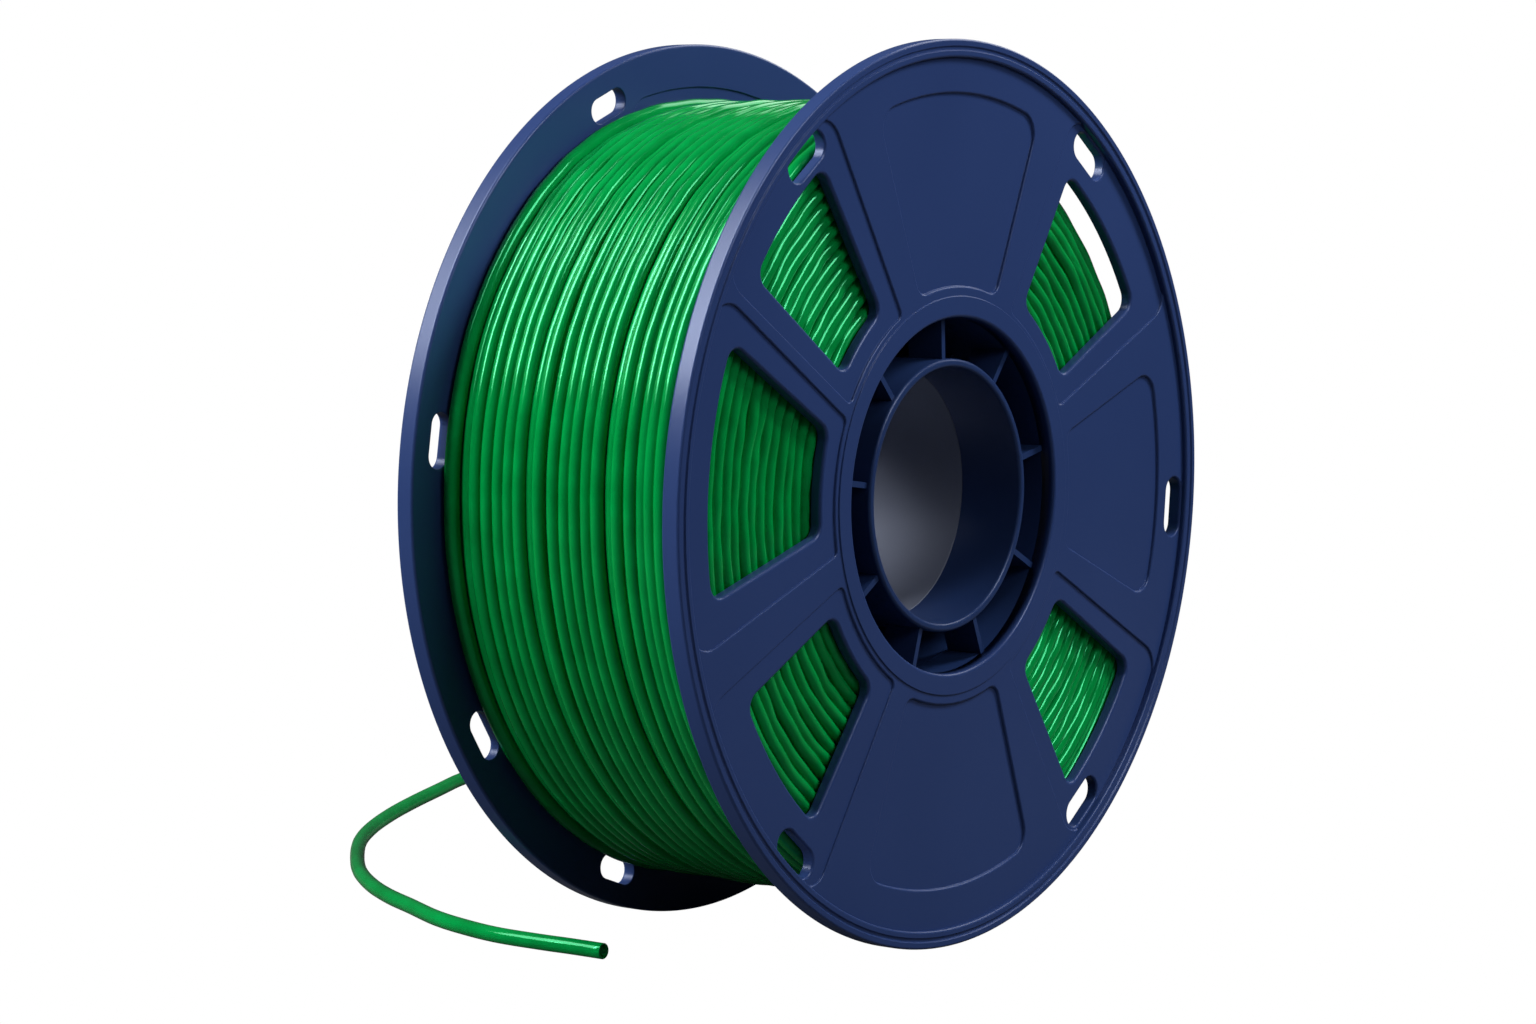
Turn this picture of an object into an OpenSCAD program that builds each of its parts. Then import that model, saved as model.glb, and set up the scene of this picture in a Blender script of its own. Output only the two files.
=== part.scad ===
// Round spool of green strand, standing on its two flanges.
// Millimetres, +Z up, spool axis along Y, floor at Z = 0, and the origin under the spool's centre.
// The near flange faces -Y. Angles on a flange run anticlockwise from its right-hand side, seen from outside.

/* [Flanges] */
// Diameter of both flanges
flange_d = 200; // [190:1:230]
// Width of the spool over both rims
spool_w = 76; // [70:1:82]
// Thickness of a flange at its rim
rim_t = 4.4; // [3.8:0.1:5.5]
// Width of the raised rim
rim_w = 4; // [3:0.25:6]
// Height of the rim above the flange's face
rim_step = 1.2; // [0.6:0.1:1.6]
// Rounding of the rim's outer edges
rim_round = 1; // [0.5:0.1:1.2]
// Depth of the fine groove round the rim
groove_depth = 0.35; // [0.1:0.05:0.5]
// Width of the fine groove round the rim
groove_w = 0.6; // [0.3:0.1:0.8]
// Height of the hub collar above the flange's face
collar_step = 0.3; // [0.1:0.1:0.6]
// Width of the hub collar beyond the barrel's bore
collar_w = 4.7; // [3.5:0.1:7]
// Bevel on the inner edges of the rim and the collar
edge_bevel = 0.4; // [0.2:0.1:0.6]

/* [Windows and panels] */
// Width left between the collar and a window
window_in_gap = 5.7; // [4:0.1:12]
// Width left between the longest window and the rim
window_out_gap = 8.3; // [8:0.1:12]
// Corner radius of a window
window_round = 3.2; // [2:0.2:4]
// Depth of the pad round each window
pad_depth = 0.5; // [0.2:0.1:0.8]
// Corner radius of a pad at the rim
pad_round = 6; // [3:0.5:8]
// Depth of a blind panel
panel_depth = 0.7; // [0.3:0.1:1]
// Width left between the longest blind panel and the rim
panel_out_gap = 7.7; // [6:0.1:10]
// Outer corner radius of a blind panel
panel_round = 5; // [3:0.5:7]
// Depth of the shallow panels on a flange's inner face
inner_depth = 0.4; // [0.2:0.1:0.6]

/* [Strand slots] */
// Length of a slot that holds the strand's end
slot_l = 14; // [10:0.5:18]
// Width of a slot
slot_w = 6.5; // [5:0.1:7.5]
// Width left between a slot and the rim
slot_gap = 0.5; // [0.3:0.1:1]

/* [Hub] */
// Diameter of the bore that the arbor goes through
bore_d = 56.6; // [50:0.2:60]
// Wall of the bore tube
tube_wall = 1.9; // [1.5:0.1:3]
// Space between the bore tube and the barrel, which the ribs bridge
hub_gap = 9.1; // [7:0.1:11]
// Wall of the barrel
barrel_wall = 2.7; // [2:0.1:4]
// Depth of the bore tube's end behind the rim
tube_recess = 2.9; // [2:0.1:4.4]
// Number of ribs between the tube and the barrel
rib_count = 9; // [5:1:12]
// Thickness of a rib
rib_t = 1.3; // [0.8:0.1:2]
// Depth of a rib's end behind the end of the bore tube
rib_recess = 1.1; // [0.5:0.1:2]
// Length of the near half's hub, from the rim to the joint
near_hub_l = 19; // [15:0.5:25]
// Length of the barrel's lap at the joint
lap_l = 5; // [3:0.5:8]
// Clearance round the lap
lap_clearance = 0.1; // [0.05:0.05:0.2]

/* [Winding] */
// Diameter of the strand
strand_d = 3.6; // [3.2:0.1:4]
// Diameter over the outer layer
winding_d = 176.6; // [160:0.2:180]
// Drop of the outer layer where it meets the near flange
edge_drop = 9.5; // [4:0.5:10]
// Width of the sloping edge at the near flange
edge_w = 11.6; // [8:0.2:16]
// Gap between two turns of the outer layer
turn_gap = 0.49; // [0.45:0.01:0.6]
// Gap between the outer layer and the flanges
side_gap = 0.44; // [0.4:0.02:0.6]
// Gap between the plain core and the flanges
core_gap = 1; // [0.6:0.1:1.5]
// Clearance between the core and what touches it
core_clearance = 0.06; // [0.05:0.01:0.2]

/* [Hidden] */

// Sectors on a flange, as [centre, half angle, side, shortening]. Each straight side stands in from
// the ray at the half angle by side, or out where side is below zero. The shortening is at the rim.
windows = [
    [42.5, 15.2, 1.5, 3.7],
    [134.5, 10.5, 0, 0.7],
    [172.8, 23.9, 9.6, 0],
    [219.2, 12.5, 0, 4.1],
    [316.3, 13.3, 1.5, 1.7]
];
pads = [
    [42.3, 17.5, -1.5],
    [134, 13, -3],
    [173.5, 26.8, 6.5],
    [220.2, 15.5, -3],
    [316.2, 15.2, -2]
];
panels = [
    [89, 22.3, 3, 0],
    [268.7, 20.6, -1, 1.3],
    [-1.9, 21.7, 4.6, 3.3]
];
// Where the slots sit, in degrees
near_slot_angles = [53.9, 126.2, 230.8, 305.3, 354.4];
far_slot_angles = [5, 64.2, 135, 286.4, 322.9];
// How far the far half is turned about the axis, seen from its own outside
far_turn = 4;
rib_start = 92;

// The free end's route over the floor, as [x, y, z], from the winding to the cut end
free_end_route = [
    [87.5, 31.6, 60], [89, 33, 40], [91.5, 36, 22], [95, 43, 9], [99, 54, 3], [104.5, 70, 1.8],
    [112, 90, 1.8], [121, 112, 1.8], [129, 134, 1.8], [134, 155, 1.8], [134, 175, 1.8],
    [127, 191, 1.8], [113, 199, 1.8], [96, 195, 1.8], [79, 188, 1.8], [59, 179.5, 1.8],
    [41, 171, 1.8], [23, 161, 1.8], [7, 150, 1.8], [-9, 136, 1.8], [-23, 122, 1.8],
    [-34, 108, 1.8], [-42, 95, 1.8], [-48, 82.5, 1.8], [-55, 68, 1.8], [-59, 55, 1.8],
    [-61, 44, 1.8], [-61, 32, 1.8], [-60, 24, 1.8], [-57, 17, 1.8]
];

navy = [0.13, 0.18, 0.36];
dark_navy = [0.08, 0.12, 0.25];
green = [0.02, 0.55, 0.22];
dark_green = [0.01, 0.38, 0.15];

flange_r = flange_d / 2;
rim_r = flange_r - rim_w;
face_z = rim_t - rim_step;
bore_r = bore_d / 2;
tube_r = bore_r + tube_wall;
barrel_bore_r = tube_r + hub_gap;
barrel_r = barrel_bore_r + barrel_wall;
collar_r = barrel_bore_r + collar_w;
window_r_in = collar_r + window_in_gap;
window_r_out = rim_r - window_out_gap;
panel_r_out = rim_r - panel_out_gap;
slot_r = rim_r - slot_gap - slot_w / 2;
near_rim_y = -spool_w / 2;
far_rim_y = spool_w / 2;
near_inner_y = near_rim_y + rim_t;
far_inner_y = far_rim_y - rim_t;
joint_y = near_rim_y + near_hub_l;
near_rib_end = tube_recess + rib_recess;

// Land left between the collar and the pads and panels, and the small inner corners
pad_land = 1.2;
panel_land = 2.2;
inner_corner = 1.5;
panel_inner_corner = 3;
// How much further out a panel reaches on the inner face
inner_reach = 2;
// How far a cut reaches past the face that it opens
through = 1;
// How far the web runs into the rim and the collar, so that they join
web_lap = 1;
round_steps = 6;
corner_steps = 4;
arc_step = 4;
turned = 180;

strand_r = strand_d / 2;
layer_r = winding_d / 2 - strand_r;
ring_sides = 6;
rings_per_turn = 24;
// Half of the strand's width where two turns face each other, across the tube's flats
flat_r = strand_r * cos(180 / ring_sides);
layer_end_y = far_inner_y - side_gap - flat_r;
layer_w = 2 * layer_end_y;
half_turns = floor(2 * layer_w / (2 * flat_r + turn_gap));
turns = half_turns % 2 == 0 ? (half_turns - 1) / 2 : half_turns / 2;
ring_count = round(turns * rings_per_turn);
// A tube of straight runs dips below its true circle between two rings
ring_dip = cos(180 / rings_per_turn);
core_edge_y = far_inner_y - core_gap;
core_steps = 10;
free_sides = 8;
rings_per_stretch = 2;

// ---- Outlines ----

// Points along an arc, both ends included
function arc_points(centre, r, from, to, steps) =
    [for (i = [0 : steps])
        let (a = from + (to - from) * i / steps)
        centre + r * [cos(a), sin(a)]];

// Points along an arc about the origin, without its ends
function open_arc(r, from, to) =
    let (steps = ceil(abs(to - from) / arc_step))
    [for (i = [1 : steps - 1])
        let (a = from + (to - from) * i / steps)
        r * [cos(a), sin(a)]];

// Centre of a corner that is tangent to a ring's edge and to a sector's side
function corner_centre(ring_r, side, corner, half_angle) =
    let (
        along = [cos(half_angle), sin(half_angle)],
        inward = [sin(half_angle), -cos(half_angle)],
        offset_in = side + corner
    )
    sqrt(ring_r * ring_r - offset_in * offset_in) * along + offset_in * inward;

// A sector of a ring about +X, its straight sides moved in by side, with round corners
function sector(r_in, r_out, side, corner_in, corner_out, half_angle) =
    let (
        co = corner_centre(r_out - corner_out, side, corner_out, half_angle),
        ci = corner_centre(r_in + corner_in, side, corner_in, half_angle),
        ao = atan2(co.y, co.x),
        ai = atan2(ci.y, ci.x)
    )
    concat(
        open_arc(r_out, -ao, ao),
        arc_points(co, corner_out, ao, half_angle + 90, corner_steps),
        arc_points(ci, corner_in, half_angle + 90, ai + 180, corner_steps),
        open_arc(r_in, ai, -ai),
        arc_points([ci.x, -ci.y], corner_in, 180 - ai, 270 - half_angle, corner_steps),
        arc_points([co.x, -co.y], corner_out, 270 - half_angle, 360 - ao, corner_steps)
    );

module window_outline(w) {
    rotate(w[0]) polygon(sector(window_r_in, window_r_out - w[3], w[2], window_round,
        window_round, w[1]));
}

// The pad runs out under the rim, which covers its outer edge
module pad_outline(p) {
    rotate(p[0]) polygon(sector(collar_r + pad_land, rim_r + web_lap / 2, p[2], inner_corner,
        pad_round, p[1]));
}

module panel_outline(p, reach) {
    rotate(p[0]) polygon(sector(collar_r + panel_land, panel_r_out - p[3] + reach, p[2],
        panel_inner_corner, panel_round, p[1]));
}

module slot_outline() {
    straight = slot_l - slot_w;
    translate([slot_r, 0]) {
        square([slot_w, straight], center = true);
        for (side = [-1, 1]) translate([0, side * straight / 2]) circle(d = slot_w, $fn = 48);
    }
}

// Section of the rim: two rounded edges, a fine groove and a bevelled inner step
module rim_section() {
    groove_out = flange_r - rim_round - groove_w;
    groove_in = groove_out - groove_w;
    polygon(concat(
        [[rim_r, 0]],
        arc_points([flange_r - rim_round, rim_round], rim_round, -90, 0, round_steps),
        arc_points([flange_r - rim_round, rim_t - rim_round], rim_round, 0, 90, round_steps),
        [
            [groove_out, rim_t],
            [(groove_out + groove_in) / 2, rim_t - groove_depth],
            [groove_in, rim_t],
            [rim_r + edge_bevel, rim_t],
            [rim_r, rim_t - edge_bevel]
        ]
    ));
}

// Section of the collar round the hub's open end
module collar_section() {
    collar_z = face_z + collar_step;
    polygon([
        [barrel_bore_r, 0],
        [collar_r, 0],
        [collar_r, collar_z - edge_bevel / 2],
        [collar_r - edge_bevel / 2, collar_z],
        [barrel_bore_r + edge_bevel, collar_z],
        [barrel_bore_r, collar_z - edge_bevel]
    ]);
}

// ---- Flanges, with the inner face at Z = 0 and the outside at +Z ----

module web() {
    difference() {
        cylinder(r = rim_r + web_lap, h = face_z, $fn = 180);
        translate([0, 0, -through])
            cylinder(r = collar_r - web_lap, h = face_z + 2 * through, $fn = 120);
        for (p = pads) translate([0, 0, face_z - pad_depth])
            linear_extrude(pad_depth + through) pad_outline(p);
        for (w = windows) translate([0, 0, -through])
            linear_extrude(face_z + 2 * through) window_outline(w);
        for (p = panels) {
            translate([0, 0, face_z - panel_depth])
                linear_extrude(panel_depth + through) panel_outline(p, 0);
            // A shallower panel lies behind it
            translate([0, 0, -through])
                linear_extrude(inner_depth + through) panel_outline(p, inner_reach);
        }
    }
}

module flange(slot_angles) {
    difference() {
        union() {
            web();
            rotate_extrude($fn = 180) rim_section();
            rotate_extrude($fn = 120) collar_section();
        }
        for (a = slot_angles) rotate(a) translate([0, 0, -through])
            linear_extrude(rim_t + 2 * through) slot_outline();
    }
}

// ---- Places on the spool ----

// Moves what is drawn on the inner face of a flange to the near flange
module at_near_flange() {
    translate([0, near_inner_y, flange_r]) rotate([90, 0, 0]) children();
}

// The same for the far flange, turned half round about the upright
module at_far_flange() {
    rotate(turned) at_near_flange() rotate(far_turn) children();
}

// A ring about the spool's axis between two places along it
module axis_ring(r_in, r_out, from_y, to_y) {
    translate([0, to_y, flange_r]) rotate([90, 0, 0]) difference() {
        cylinder(r = r_out, h = to_y - from_y, $fn = 120);
        translate([0, 0, -through]) cylinder(r = r_in, h = to_y - from_y + 2 * through, $fn = 120);
    }
}

// Ribs between the bore tube and the barrel
module rib_set(from_y, to_y, start) {
    reach = barrel_bore_r + barrel_wall / 2;
    translate([0, to_y, flange_r]) rotate([90, 0, 0]) intersection() {
        for (i = [0 : rib_count - 1]) rotate(start + i * 360 / rib_count)
            translate([0, -rib_t / 2, 0]) cube([reach, rib_t, to_y - from_y]);
        difference() {
            cylinder(r = barrel_bore_r, h = to_y - from_y, $fn = 120);
            translate([0, 0, -through])
                cylinder(r = tube_r, h = to_y - from_y + 2 * through, $fn = 120);
        }
    }
}

// ---- Near half ----

module near_flange() {
    color(navy) at_near_flange() flange(near_slot_angles);
}

// The near barrel's end is bored out to take the far barrel's lap
module near_barrel() {
    lap_r = barrel_bore_r + barrel_wall / 2 + lap_clearance;
    color(dark_navy) difference() {
        axis_ring(barrel_bore_r, barrel_r, near_inner_y, joint_y);
        translate([0, joint_y + through, flange_r]) rotate([90, 0, 0])
            cylinder(r = lap_r, h = lap_l + through, $fn = 120);
    }
}

module near_bore_tube() {
    color(dark_navy) axis_ring(bore_r, tube_r, near_rim_y + tube_recess, joint_y);
}

module near_ribs() {
    color(dark_navy) rib_set(near_rim_y + near_rib_end, joint_y - lap_l - rib_recess, rib_start);
}

// ---- Far half ----

module far_flange() {
    color(navy) at_far_flange() flange(far_slot_angles);
}

module far_barrel() {
    lap_r = barrel_bore_r + barrel_wall / 2;
    color(dark_navy) union() {
        axis_ring(barrel_bore_r, barrel_r, joint_y, far_inner_y);
        axis_ring(barrel_bore_r, lap_r, joint_y - lap_l + lap_clearance, joint_y + through);
    }
}

module far_bore_tube() {
    color(dark_navy) axis_ring(bore_r, tube_r, joint_y, far_rim_y - tube_recess);
}

module far_ribs() {
    color(dark_navy) rib_set(joint_y + rib_recess, far_rim_y - near_rib_end, 180 - rib_start);
}

// ---- Strand ----

// Radius of the outer layer's centre line at a place along the axis
function layer_radius(y) =
    let (s = max(0, (edge_w - layer_end_y - y) / edge_w))
    layer_r - edge_drop * s * s;

// Radius of the core below it, which starts to slope one strand earlier
function core_radius(y) = layer_radius(y - strand_r) * ring_dip - strand_r - core_clearance;

module winding_core() {
    slope_from = edge_w - layer_end_y + strand_r;
    slope = [for (i = [0 : core_steps])
        let (y = -core_edge_y + (slope_from + core_edge_y) * i / core_steps)
        [core_radius(y), y]];
    color(dark_green) translate([0, 0, flange_r]) rotate([-90, 0, 0])
        rotate_extrude($fn = 120) polygon(concat(
            [[barrel_r + core_clearance, core_edge_y], [barrel_r + core_clearance, -core_edge_y]],
            slope,
            [[core_radius(core_edge_y), core_edge_y]]
        ));
}

// A closed tube through a list of rings of points
module tube(rings) {
    sides = len(rings[0]);
    last = len(rings) - 1;
    polyhedron(
        points = [for (ring = rings) each ring],
        faces = concat(
            [for (i = [0 : last - 1], j = [0 : sides - 1])
                [i * sides + j, (i + 1) * sides + (j + 1) % sides, (i + 1) * sides + j]],
            [for (i = [0 : last - 1], j = [0 : sides - 1])
                [i * sides + j, i * sides + (j + 1) % sides, (i + 1) * sides + (j + 1) % sides]],
            [for (j = [1 : sides - 2]) [0, j + 1, j]],
            [for (j = [1 : sides - 2])
                [last * sides, last * sides + j, last * sides + j + 1]]
        )
    );
}

// One ring of the outer layer: a hexagon with a flat facing each neighbouring turn
function turn_ring(a, y, drop) =
    [for (j = [0 : ring_sides - 1])
        let (
            spin = j * 360 / ring_sides,
            r = layer_radius(y) + strand_r * cos(spin)
        )
        [r * cos(a), y + strand_r * sin(spin), flange_r + r * sin(a) - drop]];

// The turns run clockwise, seen from the near flange, and end at the right, heading down.
// Each end runs straight for one strand diameter.
turn_rings = concat(
    [turn_ring(turns * 360, -layer_end_y, strand_d)],
    [for (i = [0 : ring_count])
        turn_ring((turns - i / rings_per_turn) * 360, -layer_end_y + layer_w * i / ring_count, 0)],
    [turn_ring(0, layer_end_y, strand_d)]
);

module outer_turns() {
    color(green) tube(turn_rings);
}

function unit(v) = v / norm(v);

// The whole route, starting straight down from the winding's end
free_points = concat(
    [
        [layer_r, layer_end_y, flange_r - strand_d],
        [layer_r, layer_end_y, flange_r - 2 * strand_d]
    ],
    free_end_route
);

// A smooth curve through four route points, between the middle two
function smooth(p0, p1, p2, p3, t) =
    0.5 * (2 * p1 + (p2 - p0) * t + (2 * p0 - 5 * p1 + 4 * p2 - p3) * t * t
        + (3 * p1 - p0 - 3 * p2 + p3) * t * t * t);

free_last = len(free_points) - 1;
free_centres = concat(
    [free_points[0]],
    [for (k = [1 : free_last - 1], i = [0 : rings_per_stretch - 1])
        smooth(free_points[k - 1], free_points[k], free_points[k + 1],
            free_points[min(k + 2, free_last)], i / rings_per_stretch)],
    [free_points[free_last]]
);
centre_last = len(free_centres) - 1;
free_directions = [for (i = [0 : centre_last])
    i < 2 ? [0, 0, -1] : unit(free_centres[min(i + 1, centre_last)] - free_centres[i - 1])];

// Carries one side direction along the tube without twisting it
function carried(i, side) =
    i > centre_last ? [] :
    let (
        along = free_directions[i],
        next = unit(side - (side * along) * along)
    )
    concat([next], carried(i + 1, next));

module free_end() {
    sides = carried(0, [1, 0, 0]);
    rings = [for (i = [0 : centre_last])
        let (other = cross(sides[i], free_directions[i]))
        [for (j = [0 : free_sides - 1])
            let (spin = j * 360 / free_sides)
            free_centres[i] + strand_r * (cos(spin) * sides[i] + sin(spin) * other)]];
    color(green) tube(rings);
}

// ---- Measured on the winding's own points ----

least_gap = min([for (i = [0 : ring_count - rings_per_turn], p = turn_rings[i + 1])
    min([for (q = turn_rings[i + 1 + rings_per_turn]) norm(p - q)])]);
echo(turns = turns, least_gap_between_turns = least_gap);
free_length = [for (i = [1 : centre_last]) norm(free_centres[i] - free_centres[i - 1])] *
    [for (i = [1 : centre_last]) 1];
echo(free_length = free_length, free_rings = len(free_centres));

near_flange();
near_barrel();
near_bore_tube();
near_ribs();
far_flange();
far_barrel();
far_bore_tube();
far_ribs();
winding_core();
outer_turns();
free_end();
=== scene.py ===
"""A navy plastic spool wound with a glossy green strand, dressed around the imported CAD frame.

Metres, +Z up, the spool's axis along Y, the floor at Z = 0. The near flange faces -Y.
Sizes of the mouldings and the winding are written in millimetres and pass through MM.
"""

import math
from collections import namedtuple
from functools import partial

import bmesh
import bpy
import numpy as np
from mathutils import Matrix, Vector


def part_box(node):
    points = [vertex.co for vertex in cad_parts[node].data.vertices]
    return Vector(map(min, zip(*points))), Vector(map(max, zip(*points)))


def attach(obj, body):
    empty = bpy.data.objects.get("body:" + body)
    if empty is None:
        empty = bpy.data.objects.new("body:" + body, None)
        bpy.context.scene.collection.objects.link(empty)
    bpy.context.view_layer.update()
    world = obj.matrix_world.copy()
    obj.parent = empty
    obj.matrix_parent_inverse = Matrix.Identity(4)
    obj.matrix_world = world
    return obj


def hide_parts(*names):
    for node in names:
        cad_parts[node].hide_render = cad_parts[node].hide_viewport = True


MM = 0.001
FULL = 2 * math.pi
X, Y, Z = range(3)

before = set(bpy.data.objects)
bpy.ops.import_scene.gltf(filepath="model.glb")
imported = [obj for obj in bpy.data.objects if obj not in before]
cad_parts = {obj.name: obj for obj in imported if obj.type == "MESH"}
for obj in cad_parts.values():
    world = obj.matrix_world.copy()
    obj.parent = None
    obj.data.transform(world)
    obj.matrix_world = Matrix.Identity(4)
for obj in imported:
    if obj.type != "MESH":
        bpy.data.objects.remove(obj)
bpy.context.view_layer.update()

# ---- Sizes, in millimetres, from the frame where it has them ----


def span(node, axis):
    """A node's lowest and highest place along an axis, in millimetres."""
    low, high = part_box(node)
    return low[axis] / MM, high[axis] / MM


def radius_of(node):
    """The radius of a node that is round about the spool's axis."""
    low, high = span(node, X)
    return (high - low) / 2


NEAR_RIM_Y, NEAR_INNER_Y = span("near_flange", Y)
FAR_INNER_Y = span("far_flange", Y)[0]
NEAR_TUBE_Y = span("near_bore_tube", Y)
FAR_TUBE_Y = span("far_bore_tube", Y)
NEAR_RIB_Y = span("near_ribs", Y)
FAR_RIB_Y = span("far_ribs", Y)
AXIS_Z = sum(span("near_flange", Z)) / 2
FLANGE_R = radius_of("near_flange")
TUBE_R = radius_of("near_bore_tube")
BARREL_R = radius_of("near_barrel")

RIM_W = 4
RIM_RISE = 1.2
PAD_DEPTH = 0.5
PANEL_DEPTH = 0.7
INNER_PANEL_DEPTH = 0.4
COLLAR_RISE = 0.3
COLLAR_R = 44.0
BARREL_BORE_R = 39.3
BORE_R = 28.3

# Heights on a flange, from its inner face out
RIM_T = NEAR_INNER_Y - NEAR_RIM_Y
FACE_Z = RIM_T - RIM_RISE
PAD_Z = FACE_Z - PAD_DEPTH
PANEL_Z = FACE_Z - PANEL_DEPTH
COLLAR_Z = FACE_Z + COLLAR_RISE
RIM_R = FLANGE_R - RIM_W

# The hub's ribs. RIB_START is the first one's angle in degrees, and RIB_SINK how far they run into the walls
RIB_T = 1.3
RIB_COUNT = 9
RIB_START = 92
RIB_SINK = 0.2

# A hole or a hollow between two rays of a flange: its middle and half its width in degrees, how far its
# sides stand in from the rays, and how much shorter it is at the rim
Sector = namedtuple("Sector", "centre half_angle side short")
WINDOWS = (Sector(42.5, 15.2, 1.5, 3.7), Sector(134.5, 10.5, 0, 0.7), Sector(172.8, 23.9, 9.6, 0),
           Sector(219.2, 12.5, 0, 4.1), Sector(316.3, 13.3, 1.5, 1.7))
PADS = (Sector(42.3, 17.5, -1.5, 0), Sector(134, 13, -3, 0), Sector(173.5, 26.8, 6.5, 0),
        Sector(220.2, 15.5, -3, 0), Sector(316.2, 15.2, -2, 0))
# The far flange's first pad is narrower, clear of a slot
FAR_PADS = (Sector(41.3, 16.5, -1.5, 0),) + PADS[1:]
PANELS = (Sector(89, 22.3, 3, 0), Sector(268.7, 20.6, -1, 1.3), Sector(-1.9, 21.7, 4.6, 3.3))
# How much further each panel reaches on the inner face
INNER_PANEL_REACHES = (2, 1.2, 1.2)

# What sectors of a kind share: radii, the roundings of the corners, and steps along the outer and inner arcs
Kind = namedtuple("Kind", "r_in r_out corner_in corner_out steps_out steps_in")
WINDOW = Kind(COLLAR_R + 5.7, RIM_R - 8.3, 3.2, 3.2, 14, 8)
PAD = Kind(COLLAR_R + 1.2, RIM_R + 0.5, 1.5, 6, 20, 10)
PANEL = Kind(COLLAR_R + 2.2, RIM_R - 7.7, 3, 5, 20, 10)

# Slots lie with their middles at SLOT_MIDDLE_R. The photo shows the far flange's slots smaller
Slot = namedtuple("Slot", "angle length width")
NEAR_SLOTS = [Slot(angle, 14, 6.5) for angle in (53.9, 126.2, 230.8, 305.3, 354.4)]
FAR_SLOTS = [Slot(angle, 12.2, 5.6) for angle in (5, 64.2, 135, 286.4, 322.9)]
SLOT_MIDDLE_R = RIM_R - 3.75
# How far the far flange is turned about the axis, in degrees
FAR_TURN = 4

# How round each opening's top edge is, and its bottom edge or the corner round its floor
PAD_ROUNDS = (0.42, 0.08)
PANEL_ROUNDS = (0.52, 0.18)
INNER_PANEL_ROUNDS = (0.2, 0.15)
WINDOW_ROUNDS = (0.85, 0.3)
SLOT_ROUNDS = (0.6, 0.25)

STRAND_R = 1.8
# The strand is pressed thinner where it is wound
WOUND_R = 1.53

# ---- Camera ----


def make_camera():
    """The photograph's viewpoint: a long lens, a little above the axis and well to the near flange's left."""
    yaw, pitch = 0.92227, -0.09219  # radians from +Y towards +X, and above level
    place = Vector((-0.7012, -0.5162, 0.1749))
    focal, image_w, sensor_w = 3867.24, 1536, 36  # pixels, pixels, millimetres
    ahead = Vector((math.sin(yaw) * math.cos(pitch), math.cos(yaw) * math.cos(pitch), math.sin(pitch)))
    right = Vector((math.cos(yaw), -math.sin(yaw), 0))
    up = right.cross(ahead)
    data = bpy.data.cameras.new("camera")
    data.sensor_width = sensor_w
    data.lens = focal / image_w * sensor_w
    data.clip_start, data.clip_end = 0.01, 50
    camera = bpy.data.objects.new("camera", data)
    turn = Matrix((right, up, -ahead)).transposed().to_4x4()
    camera.matrix_world = Matrix.Translation(place) @ turn
    bpy.context.scene.collection.objects.link(camera)
    bpy.context.scene.camera = camera


make_camera()

# ---- Materials ----


def new_material(name):
    """A material with nodes. Gives back the material, its node tree and its shader."""
    material = bpy.data.materials.new(name)
    material.use_nodes = True
    return material, material.node_tree, material.node_tree.nodes["Principled BSDF"]


def set_inputs(node, values):
    for name, value in values.items():
        node.inputs[name].default_value = value


def add_noise(tree, scale, detail):
    """The value of a noise that stays with the object, in its own coordinates."""
    place = tree.nodes.new("ShaderNodeTexCoord")
    noise = tree.nodes.new("ShaderNodeTexNoise")
    set_inputs(noise, {"Scale": scale, "Detail": detail})
    tree.links.new(place.outputs["Object"], noise.inputs["Vector"])
    return noise.outputs["Fac"]


def vary_colour(tree, shader, noise, stops):
    """Colours a surface by a noise. Each stop is (value of the noise, colour)."""
    ramp = tree.nodes.new("ShaderNodeValToRGB")
    elements = ramp.color_ramp.elements
    while len(elements) < len(stops):
        elements.new(0.5)
    for element, (position, colour) in zip(elements, stops):
        element.position = position
        element.color = (*colour, 1)
    tree.links.new(noise, ramp.inputs["Fac"])
    tree.links.new(ramp.outputs["Color"], shader.inputs["Base Color"])


def vary_roughness(tree, shader, noise, low, high):
    spread = tree.nodes.new("ShaderNodeMapRange")
    set_inputs(spread, {"To Min": low, "To Max": high})
    tree.links.new(noise, spread.inputs["Value"])
    tree.links.new(spread.outputs["Result"], shader.inputs["Roughness"])


def add_bump(tree, shader, noise, strength, distance):
    bump = tree.nodes.new("ShaderNodeBump")
    set_inputs(bump, {"Strength": strength, "Distance": distance})
    tree.links.new(noise, bump.inputs["Height"])
    tree.links.new(bump.outputs["Normal"], shader.inputs["Normal"])


def make_plastic(name, dark, light, rough_low, rough_high, grain):
    """Satin moulded plastic with a fine grain and slow changes of tone."""
    material, tree, shader = new_material(name)
    vary_colour(tree, shader, add_noise(tree, scale=14, detail=2), [(0.3, dark), (0.7, light)])
    vary_roughness(tree, shader, add_noise(tree, scale=60, detail=4), rough_low, rough_high)
    add_bump(tree, shader, add_noise(tree, scale=1500, detail=2), strength=grain, distance=0.01 * MM)
    set_inputs(shader, {"Specular IOR Level": 0.4, "Specular Tint": (0.7, 0.78, 1.0, 1)})
    return material


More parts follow.
